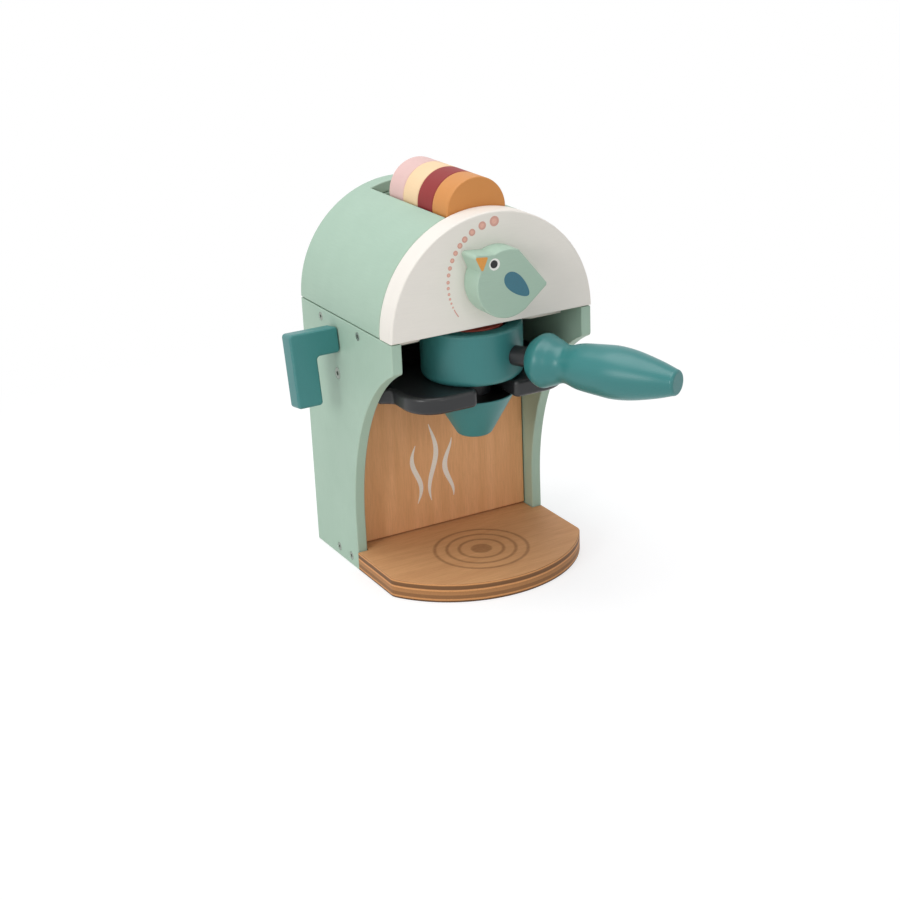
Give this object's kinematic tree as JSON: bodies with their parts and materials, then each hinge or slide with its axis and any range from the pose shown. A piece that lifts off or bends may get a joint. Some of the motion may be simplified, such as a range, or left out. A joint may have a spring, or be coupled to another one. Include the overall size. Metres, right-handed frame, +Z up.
{
  "type": "toy coffee maker",
  "caption": "Painted wooden toy coffee maker: half-round head with a pod channel, turning bird dial, swinging steam wand and a pull-out portafilter in a fork.",
  "frame": {"origin": "on the floor at the underside of the base board, straight below the brew axis through the portafilter's cup", "axes": "+Z up, -Y towards the front of the machine, +X to the right seen from the front"},
  "size_m": [0.187, 0.2474, 0.2776],
  "materials": {
    "stained_ply": "satin lacquer over stained plywood",
    "mint_paint": "satin paint on wood",
    "white_paint": "satin paint on wood",
    "cream_paint": "satin paint on wood",
    "black_paint": "satin paint on wood",
    "teal_paint": "satin paint on wood",
    "orange_paint": "satin paint on wood",
    "burgundy_paint": "satin paint on wood",
    "sand_paint": "satin paint on wood",
    "pink_paint": "satin paint on wood",
    "brick_paint": "satin paint on wood",
    "bare_wood": "unfinished turned wood",
    "zinc_steel": "zinc plated",
    "spring_steel": "plain spring steel"
  },
  "bodies": {
    "machine": {"base_board": "stained_ply", "back_panel": "stained_ply", "side_panel_left": "mint_paint", "side_panel_right": "mint_paint", "rear_panel": "mint_paint", "hood_skin": "mint_paint", "rear_disc": "mint_paint", "channel_trough": "mint_paint", "front_panel": "white_paint", "head_deck": "cream_paint", "fork_board": "black_paint", "click_block": "bare_wood", "click_leaf": "spring_steel", "click_screw": "zinc_steel", "deck_screw_front_left": "zinc_steel", "deck_screw_front_right": "zinc_steel", "deck_screw_rear_left": "zinc_steel", "deck_screw_rear_right": "zinc_steel", "back_panel_bolt_left": "zinc_steel", "back_panel_bolt_right": "zinc_steel", "base_screw_front_left": "zinc_steel", "base_screw_front_right": "zinc_steel", "base_screw_rear_left": "zinc_steel", "base_screw_rear_right": "zinc_steel", "fork_screw_left": "zinc_steel", "fork_screw_right": "zinc_steel", "rear_screw_left": "zinc_steel", "rear_screw_right": "zinc_steel"},
    "portafilter_core": {"portafilter_neck": "black_paint", "portafilter_spout": "teal_paint"},
    "portafilter": {"portafilter_cup": "teal_paint", "handle_dowel": "black_paint", "handle_grip": "teal_paint"},
    "loaded_pod": {"pod_brick": "brick_paint"},
    "orange_pod": {"pod_orange": "orange_paint"},
    "burgundy_pod": {"pod_burgundy": "burgundy_paint"},
    "cream_pod": {"pod_cream": "sand_paint"},
    "pink_pod": {"pod_pink": "pink_paint"},
    "dial": {"dial_knob": "mint_paint", "dial_spindle": "bare_wood", "click_wheel": "bare_wood"},
    "wand": {"wand_arm": "teal_paint", "wand_pivot": "bare_wood", "wand_keeper": "bare_wood", "wand_screw": "zinc_steel"}
  },
  "joints": [
    {"name": "portafilter_slide", "type": "slide", "parent": "machine", "child": "portafilter_core", "axis": [0, -1, 0], "range_m": [0, 0.085]},
    {"name": "portafilter_turn", "type": "hinge", "parent": "portafilter_core", "child": "portafilter", "pos_m": [0, 0, 0.1594], "axis": [0, 0, 1], "range_deg": [-54, 0]},
    {"name": "loaded_pod_lift", "type": "slide", "parent": "portafilter", "child": "loaded_pod", "axis": [0, 0, 1], "range_m": [0, 0.005]},
    {"name": "orange_pod_lift", "type": "slide", "parent": "machine", "child": "orange_pod", "axis": [0, 0, 1], "range_m": [0, 0.05]},
    {"name": "burgundy_pod_lift", "type": "slide", "parent": "machine", "child": "burgundy_pod", "axis": [0, 0, 1], "range_m": [0, 0.05]},
    {"name": "cream_pod_lift", "type": "slide", "parent": "machine", "child": "cream_pod", "axis": [0, 0, 1], "range_m": [0, 0.05]},
    {"name": "pink_pod_lift", "type": "slide", "parent": "machine", "child": "pink_pod", "axis": [0, 0, 1], "range_m": [0, 0.05]},
    {"name": "dial_turn", "type": "hinge", "parent": "machine", "child": "dial", "pos_m": [0.001, -0.032, 0.215], "axis": [0, 1, 0], "continuous": true},
    {"name": "wand_swing", "type": "hinge", "parent": "machine", "child": "wand", "pos_m": [-0.075, 0.0534, 0.1666], "axis": [1, 0, 0], "continuous": true}
  ]
}
